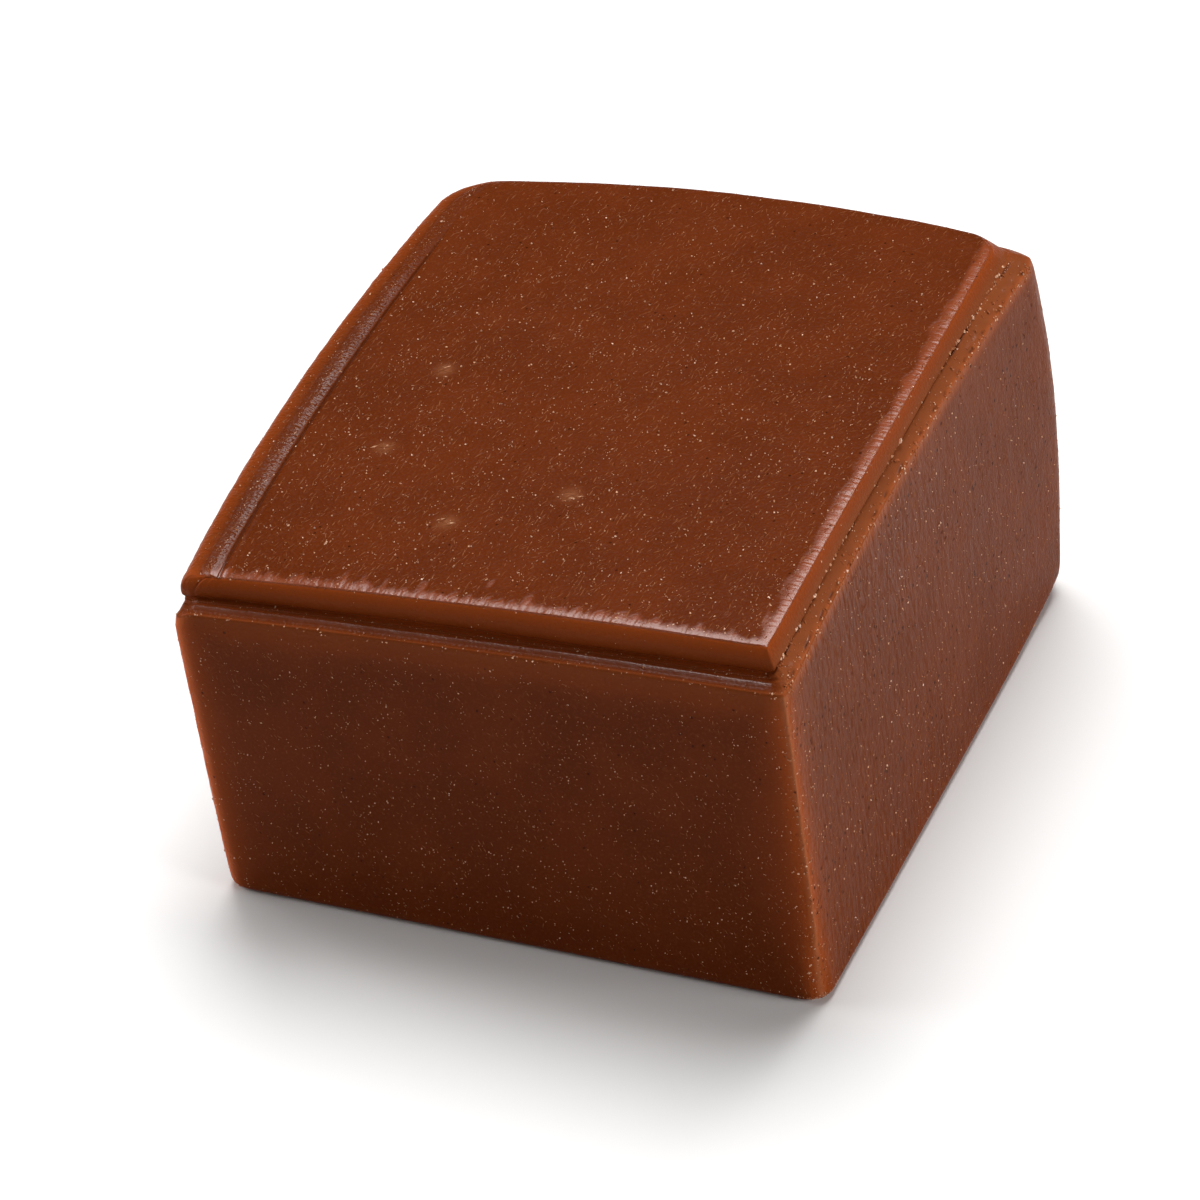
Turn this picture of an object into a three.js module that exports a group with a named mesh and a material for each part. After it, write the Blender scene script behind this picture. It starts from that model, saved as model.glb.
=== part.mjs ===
// A hand-cut piece of chocolate fudge: a leaning block with a slab scored round its top.
// Millimetres, +Z up, +X to the right along the front, +Y to the back. It stands on z = 0.
import * as THREE from "three";
import { mergeVertices } from "three/addons/utils/BufferGeometryUtils.js";

// The rim is where the block's four walls end and the slab begins.
const WIDTH = 26.1;
const DEPTH = 30.5;
const RIM_HEIGHT = 14.9;
const RIM_CLIMB = { toRight: 1.35, toBack: 1.1 };
const RIM_DROOP = 0.17;

// How far the foot of each wall stands out beyond the rim: the cut leans to the right.
// Half way up, a wall is its belly further out than a straight cut.
const FOOT_OUT = { front: 0.1, right: 0.87, back: -0.2, left: -1.05 };
const FOOT_ROUND = 0.6;
const BELLY = { front: 0, right: 0.12, back: 0.6, left: 0.1 };

// How far the middle of each wall swells out beyond its corners, at the rim, the foot and the slab.
const SWELL = {
  rim: { front: 0, right: -0.37, back: 0.85, left: 0.78 },
  foot: { front: 0, right: 0, back: 0.5, left: 0.3 },
  slab: { front: 0, right: 0, back: 1.05, left: 0.78 },
};

// The slab's height over the rim at its four corners, and how far those corners sag.
const SLAB_RISE = { frontLeft: 1.03, frontRight: 1.3, backRight: 1.14, backLeft: 1.42 };
const SLAB_DROOP = 0.36;
const CROWN = 0.12;

// Plan radius of the upright edges at the foot and from the rim up, in the order front left,
// front right, back right, back left.
const FOOT_RADII = [0.5, 0.9, 1.4, 1.8];
const RIM_RADII = [0.4, 0.45, 0.8, 1.8];

// The cut round the slab on each side. A ledge runs in from the rim, a groove goes under the slab,
// and the band above the groove ends in a rounded edge. Ledge, groove, lip and edge are insets from
// the rim; ledgeRise, bead and roof are shares of the slab's height; round is the edge's size.
const CUT = {
  front: { ledge: 0.66, ledgeRise: 0.1, bead: 0.06, groove: 1.2, roof: 0.38, lip: 0.96, edge: 1.15, round: 0.2 },
  right: { ledge: 0.72, ledgeRise: 0.4, bead: 0, groove: 0.94, roof: 0.46, lip: 0.86, edge: 1.2, round: 0.26 },
  back: { ledge: 0.66, ledgeRise: 0.1, bead: 0.06, groove: 1.2, roof: 0.38, lip: 0.96, edge: 1.19, round: 0.3 },
  left: { ledge: 0.32, ledgeRise: 0.16, bead: 0.02, groove: 0.42, roof: 0.28, lip: 0.12, edge: 0.95, round: 0.85 },
};
const RIM_ROUND = 0.18;
const RIM_ROUND_RISE = 0.26;
const LIP_RISE = 0.1;

// A crease runs along the top beside the left edge and fades out on the other three sides.
const CREASE_INSET = { front: 1.5, right: 1.55, back: 1.55, left: 1.53 };
const CREASE_HALF_WIDTH = 0.14;
const CREASE_DEPTH = { front: 0, right: 0, back: 0, left: 0.11 };

// The knife tore the right-hand ledge and left every wall slightly wavy.
const TEAR = { depth: 0.17, size: 0.55 };
const WAVE = { depth: 0.07, size: 4.5 };

// How finely the form is cut into facets.
const SIDE_STEPS = { front: 24, right: 40, back: 16, left: 22 };
const CORNER_STEPS = 4;
const CURVE_STEPS = 3;
const WALL_SHARES = [0.1, 0.3, 0.5, 0.7, 0.88];
const TOP_SHARES = [0.82, 0.6, 0.36, 0.14];

const SIDES = ["front", "right", "back", "left"];
const HALF_WIDTH = WIDTH / 2;
const HALF_DEPTH = DEPTH / 2;
const { lerp, smoothstep, clamp } = THREE.MathUtils;

const perSide = (rule) => Object.fromEntries(SIDES.map((side) => [side, rule(side)]));

// Height of the rim and of the slab over it, anywhere in plan.
const across = (x) => clamp(x / HALF_WIDTH, -1, 1);
const along = (y) => clamp(y / HALF_DEPTH, -1, 1);
const awayFromCorners = (x, y) => 1 - across(x) ** 2 * along(y) ** 2;

function rimZ(x, y) {
  const climb = (RIM_CLIMB.toRight * across(x) + RIM_CLIMB.toBack * along(y)) / 2;
  return RIM_HEIGHT + climb + RIM_DROOP * awayFromCorners(x, y);
}

function slabRise(x, y) {
  const u = (across(x) + 1) / 2;
  const v = (along(y) + 1) / 2;
  const frontRise = lerp(SLAB_RISE.frontLeft, SLAB_RISE.frontRight, u);
  const backRise = lerp(SLAB_RISE.backLeft, SLAB_RISE.backRight, u);
  const crown = CROWN * (1 - across(x) ** 2) * (1 - along(y) ** 2);
  return lerp(frontRise, backRise, v) + (SLAB_DROOP - RIM_DROOP) * awayFromCorners(x, y) + crown;
}

// Smooth seeded noise between -1 and 1: random values on a unit grid, blended between grid points.
function gridValue(i, j, k) {
  const wave = Math.sin(i * 127.1 + j * 311.7 + k * 74.7) * 43758.5453;
  return 2 * (wave - Math.floor(wave)) - 1;
}

function noise(x, y, z) {
  const [i, j, k] = [x, y, z].map(Math.floor);
  const [u, v, w] = [x - i, y - j, z - k].map((part) => smoothstep(part, 0, 1));
  const alongX = (b, c) => lerp(gridValue(i, j + b, k + c), gridValue(i + 1, j + b, k + c), u);
  const alongY = (c) => lerp(alongX(0, c), alongX(1, c), v);
  return lerp(alongY(0), alongY(1), w);
}

const noiseAt = (point, size) => noise(point.x / size, point.y / size, point.z / size);

// The stations round the outline, anticlockwise from the front left corner: a quarter turn at each
// corner and then the straight side. Each station knows how much it belongs to each side.
const stations = [];
SIDES.forEach((side, corner) => {
  const before = SIDES[(corner + 3) % 4];
  for (let step = 0; step <= CORNER_STEPS; step += 1) {
    const share = step / CORNER_STEPS;
    const turn = Math.PI + (corner + share) * (Math.PI / 2);
    stations.push({ corner, turn, weights: { [before]: 1 - share, [side]: share } });
  }
  for (let step = 1; step < SIDE_STEPS[side]; step += 1) {
    stations.push({ corner, share: step / SIDE_STEPS[side], weights: { [side]: 1 } });
  }
});

const weigh = (station, values) =>
  Object.entries(station.weights).reduce((sum, [side, weight]) => sum + weight * values[side], 0);

function outwardOf(station) {
  const { front = 0, right = 0, back = 0, left = 0 } = station.weights;
  return new THREE.Vector3(right - left, back - front, 0).normalize();
}

// The point of a rounded rectangle at one station. "out" holds how far each side is beyond the rim.
function cornerCentre(corner, { out, radii, shrink }) {
  const x = corner === 0 || corner === 3 ? -HALF_WIDTH - out.left : HALF_WIDTH + out.right;
  const y = corner < 2 ? -HALF_DEPTH - out.front : HALF_DEPTH + out.back;
  const radius = radii[corner];
  const inward = new THREE.Vector2(-Math.sign(x), -Math.sign(y)).multiplyScalar(radius);
  return { centre: inward.add(new THREE.Vector2(x, y)).multiplyScalar(shrink), radius: radius * shrink };
}

function onArc({ centre, radius }, turn) {
  return new THREE.Vector2(Math.cos(turn), Math.sin(turn)).multiplyScalar(radius).add(centre);
}

function planPoint(station, outline) {
  const here = cornerCentre(station.corner, outline);
  if (station.turn !== undefined) return onArc(here, station.turn);
  const next = cornerCentre((station.corner + 1) % 4, outline);
  const turn = Math.PI + (station.corner + 1) * (Math.PI / 2);
  return onArc(here, turn).lerp(onArc(next, turn), station.share);
}

// Swelling of the walls moves each point outwards, most in the middle of a side.
function swell(point, amount) {
  const u = across(point.x);
  const v = along(point.y);
  const middleX = 1 - u ** 2;
  const middleY = 1 - v ** 2;
  const sideways = u > 0 ? amount.right : -amount.left;
  const lengthways = v > 0 ? amount.back : -amount.front;
  point.x += sideways * Math.abs(u) ** 3 * middleY;
  point.y += lengthways * Math.abs(v) ** 3 * middleX;
  return point;
}

// One closed ring of the form. Height is a rule of the plan point and its station.
function ring({ out, radii = RIM_RADII, shrink = 1, swelling, height, tear = 0, wave = 0 }) {
  return stations.map((station) => {
    const plan = swell(planPoint(station, { out, radii, shrink }), swelling);
    const point = new THREE.Vector3(plan.x, plan.y, height(plan.x, plan.y, station));
    const torn = tear * (station.weights.right ?? 0) * TEAR.depth * Math.abs(noiseAt(point, TEAR.size));
    const waved = wave * WAVE.depth * noiseAt(point, WAVE.size);
    return point.addScaledVector(outwardOf(station), waved - torn);
  });
}

// Foot: a quarter-round between the floor and the walls.
function footRings() {
  return Array.from({ length: CURVE_STEPS + 1 }, (_, step) => {
    const turn = (step / CURVE_STEPS) * (Math.PI / 2);
    const inward = FOOT_ROUND * (1 - Math.sin(turn));
    const z = FOOT_ROUND * (1 - Math.cos(turn));
    const out = perSide((side) => FOOT_OUT[side] - inward);
    return ring({ out, radii: FOOT_RADII, swelling: SWELL.foot, height: () => z });
  });
}

// Walls: straight cuts from the foot to the rim, a little wavy.
function wallRings() {
  return WALL_SHARES.map((share) =>
    ring({
      out: perSide((side) => FOOT_OUT[side] * (1 - share) + BELLY[side] * 4 * share * (1 - share)),
      radii: RIM_RADII.map((radius, corner) => lerp(FOOT_RADII[corner], radius, share)),
      swelling: perSide((side) => lerp(SWELL.foot[side], SWELL.rim[side], share)),
      height: (x, y) => lerp(FOOT_ROUND, rimZ(x, y) - RIM_ROUND_RISE * slabRise(x, y), share),
      wave: Math.sin(Math.PI * share),
    }),
  );
}

// Section through the slab's edge on one side, from the wall over the rim and groove to the top.
function cutSection({ ledge, ledgeRise, bead, groove, roof, lip, edge, round }) {
  const section = new THREE.Path();
  section.moveTo(0, -RIM_ROUND_RISE);
  section.quadraticCurveTo(0, 0, RIM_ROUND, ledgeRise * (RIM_ROUND / ledge));
  section.quadraticCurveTo((RIM_ROUND + ledge) / 2, ledgeRise + 2 * bead, ledge, ledgeRise);
  section.lineTo(groove, (ledgeRise + roof) / 2);
  section.lineTo(groove, roof);
  section.lineTo(lip, roof + LIP_RISE);
  section.quadraticCurveTo(lip - LIP_RISE / 2, (roof + 1) / 2, Math.max(lip, edge - round), 1 - round / 2);
  section.quadraticCurveTo(Math.max(lip, edge - round / 2), 1, edge, 1);
  return section.getPoints(CURVE_STEPS);
}

function slabRings() {
  const sections = perSide((side) => cutSection(CUT[side]));
  return sections.front.map((_, level) => {
    const inset = perSide((side) => sections[side][level].x);
    const rise = perSide((side) => sections[side][level].y);
    const onSlab = smoothstep(rise.right, CUT.right.ledgeRise, 1);
    const onLedge = rise.right > 0 && rise.right <= CUT.right.ledgeRise;
    return ring({
      out: perSide((side) => -inset[side]),
      swelling: perSide((side) => lerp(SWELL.rim[side], SWELL.slab[side], onSlab)),
      height: (x, y, station) => rimZ(x, y) + weigh(station, rise) * slabRise(x, y),
      tear: onLedge ? 1 : 0,
    });
  });
}

// Top: the crease beside the left edge, then rings that shrink towards the middle.
function topRings() {
  const topZ = (x, y) => rimZ(x, y) + slabRise(x, y);
  const creaseRings = [-1, 0, 1].map((offset) =>
    ring({
      out: perSide((side) => -CREASE_INSET[side] - offset * CREASE_HALF_WIDTH),
      swelling: SWELL.slab,
      height: (x, y, station) => topZ(x, y) - (1 - Math.abs(offset)) * weigh(station, CREASE_DEPTH),
    }),
  );
  const innerRings = TOP_SHARES.map((shrink) =>
    ring({
      out: perSide((side) => -CREASE_INSET[side] - CREASE_HALF_WIDTH),
      shrink,
      swelling: SWELL.slab,
      height: topZ,
    }),
  );
  return [...creaseRings, ...innerRings];
}

function middleOf(points) {
  return points.reduce((sum, point) => sum.add(point), new THREE.Vector3()).divideScalar(points.length);
}

// Skins the rings from the foot up and closes both ends with a fan round a middle point.
function skin(rings) {
  const count = rings[0].length;
  const points = [...rings.flat(), middleOf(rings[0]), middleOf(rings.at(-1))];
  const footMiddle = points.length - 2;
  const topMiddle = points.length - 1;
  const topStart = (rings.length - 1) * count;
  const index = [];
  for (let i = 0; i < count; i += 1) {
    const next = (i + 1) % count;
    index.push(footMiddle, next, i, topMiddle, topStart + i, topStart + next);
    for (let level = 0; level < topStart; level += count) {
      index.push(level + i, level + next, level + count + next);
      index.push(level + i, level + count + next, level + count + i);
    }
  }
  const geometry = new THREE.BufferGeometry().setFromPoints(points);
  geometry.setIndex(index);
  return mergeVertices(geometry);
}

const fudgeGeometry = skin([...footRings(), ...wallRings(), ...slabRings(), ...topRings()]);
fudgeGeometry.computeVertexNormals();
fudgeGeometry.computeBoundingBox();

const fudge = new THREE.Mesh(
  fudgeGeometry,
  new THREE.MeshStandardMaterial({ color: 0x6e331b, roughness: 0.45, metalness: 0 }),
);
fudge.name = "fudge";

// The origin is on the floor, under the middle of the piece.
const middle = fudgeGeometry.boundingBox.getCenter(new THREE.Vector3());
fudge.position.set(-middle.x, -middle.y, 0);

const piece = new THREE.Group();
piece.add(fudge);

export default piece;
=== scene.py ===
# %% [markdown]
# A piece of chocolate fudge, cut by hand from a slab. It is one block of one colour: what makes it real
# is its soft leaning form, the groove that is scored round its top, and a satin skin full of sugar grains.
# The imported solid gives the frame: the block modelled here takes its place and keeps to its size.

# %% The frame
import math

import bmesh
import bpy
import numpy as np
from mathutils import Euler, Matrix, Vector, noise
from mathutils.bvhtree import BVHTree


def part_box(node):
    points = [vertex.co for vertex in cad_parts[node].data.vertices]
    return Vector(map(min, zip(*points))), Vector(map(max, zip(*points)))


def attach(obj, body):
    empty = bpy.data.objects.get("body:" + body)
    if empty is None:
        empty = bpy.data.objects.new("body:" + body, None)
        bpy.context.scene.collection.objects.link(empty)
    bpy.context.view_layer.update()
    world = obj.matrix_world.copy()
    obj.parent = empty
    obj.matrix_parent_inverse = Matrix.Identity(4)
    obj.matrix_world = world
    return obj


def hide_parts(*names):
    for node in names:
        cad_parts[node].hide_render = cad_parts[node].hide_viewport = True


MM = 0.001
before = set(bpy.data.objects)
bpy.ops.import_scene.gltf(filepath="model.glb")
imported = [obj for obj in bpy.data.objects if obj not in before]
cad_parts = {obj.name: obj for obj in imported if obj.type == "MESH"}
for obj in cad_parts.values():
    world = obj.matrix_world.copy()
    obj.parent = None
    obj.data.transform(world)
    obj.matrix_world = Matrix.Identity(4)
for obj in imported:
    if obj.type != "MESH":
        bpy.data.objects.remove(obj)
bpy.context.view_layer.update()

# %% [markdown]
# The photographer stood a little to the right and looked down on the piece with a long lens, so its edges
# stay almost parallel. Two angles, a small roll and a distance place the camera. They are worked out first,
# because every later choice is judged through this view.

# %% Camera
VIEW_TURN = math.radians(24.75)
VIEW_RISE = math.radians(35.76)
VIEW_ROLL = math.radians(-5)
VIEW_DISTANCE = 247.96 * MM
VIEW_TARGET = Vector((-0.87, -1.6, 6.92)) * MM
LENS = 180
CLIP_START = 10 * MM

camera = bpy.data.objects.new("camera", bpy.data.cameras.new("camera"))
camera.data.lens = LENS
camera.data.clip_start = CLIP_START
turned = Matrix.Rotation(VIEW_TURN, 4, "Z") @ Matrix.Rotation(math.pi / 2 - VIEW_RISE, 4, "X")
rolled = turned @ Matrix.Rotation(VIEW_ROLL, 4, "Z")
backwards = rolled.to_3x3() @ Vector((0, 0, 1))
camera.matrix_world = Matrix.Translation(VIEW_TARGET + VIEW_DISTANCE * backwards) @ rolled
bpy.context.scene.collection.objects.link(camera)
bpy.context.scene.camera = camera
print("camera at", [round(part / MM, 1) for part in camera.matrix_world.translation], "mm")

# %% [markdown]
# The block could be sculpted, or lofted ring by ring. Here it starts as a plain box that is sliced like a
# layer cake: every slice is one level of the form, from the floor over the wall and the cut to the top.
# Slicing gives clean four-sided faces all round, and each level can be moved by one simple rule. In this
# raw box a level is one unit high, and length and width are those of the rim, in millimetres.

# %% Slicing the raw block
WIDTH = 26.1
DEPTH = 30.5
FOOT_LEVELS = 2
WALL_LEVELS = 9
CUT_POINTS = (
    "wall end", "rim", "valley", "bead", "crack", "ridge",
    "floor", "back", "lip", "belly", "arris", "edge",
)
RIM_LEVEL = FOOT_LEVELS + WALL_LEVELS
TOP_LEVEL = RIM_LEVEL + len(CUT_POINTS) - 1
EDGE_CUTS = [0.2, 0.48, 0.7, 0.9, 1.3]
SLICE = 0.72
FINE_CUTS = 3
CUT_TOLERANCE = 1e-5


def slice_places(length):
    """Places of the cuts along one side: close together near both ends, even in between."""
    inner = length / 2 - EDGE_CUTS[-1]
    count = round(2 * inner / SLICE)
    even = [inner * (2 * step / count - 1) for step in range(count + 1)]
    ends = [length / 2 - cut for cut in EDGE_CUTS[:-1]]
    return [-end for end in ends] + even + ends


def slice_at(shape, axis, place):
    """Cuts every face but the bottom one along a plane across the axis."""
    across = Vector([float(axis == own) for own in range(3)])
    bottom = min(shape.faces, key=lambda face: face.calc_center_median().z)
    geometry = shape.verts[:] + shape.edges[:] + [face for face in shape.faces if face is not bottom]
    plane = {"plane_co": across * place, "plane_no": across}
    bmesh.ops.bisect_plane(shape, geom=geometry, dist=CUT_TOLERANCE, **plane)


raw = bmesh.new()
bmesh.ops.create_cube(raw, size=1)
bmesh.ops.translate(raw, vec=(0, 0, 0.5), verts=raw.verts)
bmesh.ops.scale(raw, vec=(WIDTH, DEPTH, TOP_LEVEL), verts=raw.verts)
for axis, places in enumerate((slice_places(WIDTH), slice_places(DEPTH), range(1, TOP_LEVEL))):
    for place in places:
        slice_at(raw, axis, place)
bmesh.ops.subdivide_edges(raw, edges=raw.edges[:], cuts=FINE_CUTS, use_grid_fill=True)
print("raw block:", len(raw.verts), "vertices,", len(raw.faces), "faces")

# %% [markdown]
# No two sides of a hand-cut block are alike: each wall leans and bulges in its own way, and each upright
# edge has its own radius. So most values come in fours, one for each side or each corner. The raw places
# are kept as arrays, so that a rule is written once and works on all vertices.

# %% Sides and corners
SIDES = ("front", "right", "back", "left")
CORNERS = (("front", "left"), ("front", "right"), ("back", "right"), ("back", "left"))


def sided(front, right, back, left):
    """One value for each side of the block."""
    return dict(zip(SIDES, (front, right, back, left)))


def cornered(front_left, front_right, back_right, back_left):
    """One value for each upright edge of the block."""
    return dict(zip(CORNERS, (front_left, front_right, back_right, back_left)))


def corner_value(values):
    """The value of each vertex's nearest corner."""
    front = np.where(on_right, values["front", "right"], values["front", "left"])
    back = np.where(on_right, values["back", "right"], values["back", "left"])
    return np.where(on_back, back, front)


def cut_place(name):
    """The level of a named point of the cut, counted from the end of the wall."""
    return CUT_POINTS.index(name)


raw_x, raw_y, level = np.array([vertex.co for vertex in raw.verts]).T
cut_level = level - RIM_LEVEL
on_top = level > TOP_LEVEL - CUT_TOLERANCE
on_right = raw_x > 0
on_back = raw_y > 0
print("vertices on the top:", int(on_top.sum()))

# %% [markdown]
# The corners of the raw box are square. A disc mapping rounds them without disturbing the rows of faces.
# The radius changes on the way up: the foot is roundest, over the lowest third of the wall the radius turns
# into the wall's own, and the slab at the top differs again.

# %% Rounding the corners
HALF_WIDTH = WIDTH / 2
HALF_DEPTH = DEPTH / 2
FOOT_RADII = cornered(0.9, 1.0, 1.3, 1.8)
WALL_RADII = cornered(0.8, 0.3, 0.8, 1.8)
SLAB_RADII = cornered(0.5, 0.2, 1.3, 1.8)
FOOT_SHARE = 0.35


def blend(low, high, share):
    """Low where the share is 0, and high where it is 1."""
    return low + (high - low) * share


def ease(value, start, end):
    """0 before start, 1 after end, smooth in between."""
    share = np.clip((value - start) / (end - start), 0, 1)
    return share * share * (3 - 2 * share)


zone = np.maximum.reduce([corner_value(radii) for radii in (FOOT_RADII, WALL_RADII, SLAB_RADII)])
in_x = np.clip((np.abs(raw_x) - HALF_WIDTH) / zone + 1, 0, 1)
in_y = np.clip((np.abs(raw_y) - HALF_DEPTH) / zone + 1, 0, 1)
to_rim = np.clip((level - FOOT_LEVELS) / WALL_LEVELS, 0, 1)
on_slab = ease(cut_level, cut_place("back"), cut_place("arris"))
radius = blend(corner_value(FOOT_RADII), corner_value(WALL_RADII), ease(to_rim, 0, FOOT_SHARE))
radius = blend(radius, corner_value(SLAB_RADII), on_slab)
plan_x = raw_x - np.sign(raw_x) * radius * in_x * (1 - np.sqrt(1 - in_y**2 / 2))
plan_y = raw_y - np.sign(raw_y) * radius * in_y * (1 - np.sqrt(1 - in_x**2 / 2))
print("corners rounded by up to", round(float(radius.max()), 2), "mm")

# %% [markdown]
# How much a vertex belongs to each side matters where two sides meet with different cuts. On a straight
# side one weight is 1, and round a corner two weights share. At the front left the front's cut runs almost
# out to the corner, so its share is raised there by a power.

# %% Side weights
SHARE_POWERS = cornered(1.3, 1, 1, 1)
QUARTER_TURN = math.pi / 2

wall_radius = corner_value(WALL_RADII)
past_x = np.clip(np.abs(raw_x) - HALF_WIDTH + wall_radius, 0, None)
past_y = np.clip(np.abs(raw_y) - HALF_DEPTH + wall_radius, 0, None)
sideways_share = np.where(past_x + past_y > 0, 1 - np.arctan2(past_y, past_x) / QUARTER_TURN, 0.5)
sideways_share = sideways_share ** corner_value(SHARE_POWERS)
weights = {
    "front": np.where(on_back, 0, 1 - sideways_share),
    "right": np.where(on_right, sideways_share, 0),
    "back": np.where(on_back, 1 - sideways_share, 0),
    "left": np.where(on_right, 0, sideways_share),
}


def weigh(values):
    """The mean of four sides' values by each vertex's weights."""
    return sum(weights[side] * values[side] for side in SIDES)


print("vertices on the right side:", int((weights["right"] > 0.5).sum()))

# %% [markdown]
# The rim is where the walls end and the scored slab begins. It climbs to the right and to the back, and
# droops a little at its corners. The slab over it has its own height at each corner, and a slight crown.

# %% Heights of the rim and the slab
RIM_HEIGHT = 14.9
RIM_CLIMB_RIGHT = 1.35
RIM_CLIMB_BACK = 1.1
RIM_DROOP = 0.17
SLAB_RISE = cornered(1.03, 1.3, 1.14, 1.42)
SLAB_DROOP = 0.36
CROWN = 0.12


def shares(x, y):
    """How far out from the middle a place is, from -1 to 1 along each axis."""
    return np.clip(x / HALF_WIDTH, -1, 1), np.clip(y / HALF_DEPTH, -1, 1)


def rim_z(x, y):
    u, v = shares(x, y)
    climb = (RIM_CLIMB_RIGHT * u + RIM_CLIMB_BACK * v) / 2
    return RIM_HEIGHT + climb + RIM_DROOP * (1 - u**2 * v**2)


def slab_rise(x, y):
    u, v = shares(x, y)
    front = blend(SLAB_RISE["front", "left"], SLAB_RISE["front", "right"], (u + 1) / 2)
    back = blend(SLAB_RISE["back", "left"], SLAB_RISE["back", "right"], (u + 1) / 2)
    crown = CROWN * (1 - u**2) * (1 - v**2)
    return blend(front, back, (v + 1) / 2) + (SLAB_DROOP - RIM_DROOP) * (1 - u**2 * v**2) + crown


print("top of the slab in its middle:", round(rim_z(0, 0) + slab_rise(0, 0), 2), "mm")

# %% [markdown]
# The cut round the slab is one section for each side, and its points are named from the wall to the top:
# the rim rounds over to a fine bead and a crack, a groove goes in under the slab, and the band above it
# ends in a sharp edge. On the right the knife only tore a sloping ledge. Each point is an inset from the
# rim in millimetres and a height as a share of the slab's. A smooth path gives every level its place.

# %% Section of the cut
CUT = {
    "wall end": sided((0.00, -0.55), (0.00, -0.45), (0.00, -0.26), (-0.18, -1.10)),
    "rim": sided((0.10, -0.02), (0.11, -0.03), (0.06, -0.02), (-0.13, -0.75)),
    "valley": sided((0.28, -0.03), (0.20, 0.06), (0.14, 0.06), (-0.03, -0.58)),
    "bead": sided((0.64, 0.08), (0.32, 0.13), (0.25, 0.15), (0.01, -0.52)),
    "crack": sided((0.78, 0.01), (0.50, 0.21), (0.38, 0.24), (0.02, -0.47)),
    "ridge": sided((0.88, 0.09), (0.65, 0.29), (0.50, 0.32), (0.00, -0.42)),
    "floor": sided((1.01, 0.06), (0.75, 0.33), (0.66, 0.37), (-0.03, -0.36)),
    "back": sided((1.08, 0.15), (0.78, 0.36), (0.70, 0.43), (-0.08, -0.30)),
    "lip": sided((0.98, 0.26), (0.76, 0.39), (0.70, 0.50), (-0.13, -0.20)),
    "belly": sided((0.98, 0.62), (0.89, 0.66), (0.85, 0.70), (-0.07, 0.38)),
    "arris": sided((1.13, 0.955), (1.08, 0.96), (1.10, 0.94), (0.31, 0.91)),
    "edge": sided((1.20, 1.00), (1.14, 1.00), (1.19, 1.00), (0.92, 1.00)),
}


def smooth_path(knots, progress):
    """Points on a smooth path: whole numbers of progress are the knots, and it never overshoots them."""
    knots = np.array(knots)
    strides = np.diff(knots, axis=0)
    lengths = np.linalg.norm(strides, axis=1)
    headings = np.vstack((strides[:1], knots[2:] - knots[:-2], strides[-1:]))
    headings = headings / np.linalg.norm(headings, axis=1)[:, None]
    reach = np.minimum(np.append(lengths, lengths[-1]), np.insert(lengths, 0, lengths[0]))
    tangents = headings * reach[:, None]
    first = np.clip(np.floor(progress).astype(int), 0, len(strides) - 1)
    t = np.clip(progress - first, 0, 1)[:, None]
    start = (1 + 2 * t) * (1 - t) ** 2 * knots[first] + t * (1 - t) ** 2 * tangents[first]
    end = t**2 * (3 - 2 * t) * knots[first + 1] - t**2 * (1 - t) * tangents[first + 1]
    return (start + end).T


insets = {}
rises = {}
for side in SIDES:
    insets[side], rises[side] = smooth_path([CUT[name][side] for name in CUT_POINTS], cut_level)
deepest = max(float(inset.max()) for inset in insets.values())
print("deepest groove:", round(deepest, 2), "mm in from the rim")

# %% [markdown]
# With the section known, every level gets its place in plan: the foot is a quarter-round, the wall runs
# straight with a small belly, and the cut follows its section. A margin at each edge moves as a whole, so
# that it isn't stretched. At the back right the foot is worn rounder and the right wall's belly is larger.

# %% Lean and belly of the walls
FOOT_OUT = sided(0.1, 0.87, -0.2, -0.97)
FOOT_ROUND = 0.45
FOOT_WEAR = 2.2
FOOT_WEAR_POWER = 4
BELLY_FRONT = sided(0, 0, 0.6, 0.1)
BELLY_BACK = sided(0, 0.15, 0.6, 0.1)
STEADY_MARGIN = 2.0

rightness = np.clip(raw_x / (HALF_WIDTH - STEADY_MARGIN) + 1, 0, 2) / 2
backness = np.clip(raw_y / (HALF_DEPTH - STEADY_MARGIN) + 1, 0, 2) / 2
raw_u, raw_v = shares(raw_x, raw_y)
worn_corner = np.clip(raw_u, 0, 1) * np.clip(raw_v, 0, 1)
foot_round = FOOT_ROUND * (1 + FOOT_WEAR * worn_corner**FOOT_WEAR_POWER)
foot_turn = np.clip(level / FOOT_LEVELS, 0, 1) * QUARTER_TURN


def outward(side):
    """How far each vertex's level stands out beyond the rim on this side."""
    belly = blend(BELLY_FRONT[side], BELLY_BACK[side], backness)
    lean = FOOT_OUT[side] * (1 - to_rim) + belly * 4 * to_rim * (1 - to_rim)
    return lean - foot_round * (1 - np.sin(foot_turn)) - insets[side]


x = plan_x + blend(-outward("left"), outward("right"), rightness)
y = plan_y + blend(-outward("front"), outward("back"), backness)
print("leaning block:", [round(float(np.ptp(part)), 2) for part in (x, y)], "mm")

# %% [markdown]
# Soft fudge doesn't keep straight sides. Swelling bows each one, by its own amount at the foot, the rim and
# the slab, and the slab's back right corner is pulled in. With the plan done, every vertex gets its height
# from the foot, the rim and the slab over it.

# %% Swelling and heights
SWELL_FOOT = sided(0, 0, 0.5, 0.3)
SWELL_RIM = sided(0, -0.42, 0.85, 0.78)
SWELL_SLAB = sided(0.1, 0, 1.22, 0.78)
SLAB_PULL = 0.48
EDGE_POWER = 3

over_ledge = ease(cut_level, cut_place("ridge"), cut_place("edge"))


def swelling(side):
    """How far the middle of this side is bowed out at each vertex's level."""
    wall = blend(SWELL_FOOT[side], SWELL_RIM[side], to_rim)
    return blend(wall, SWELL_SLAB[side], over_ledge)


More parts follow.
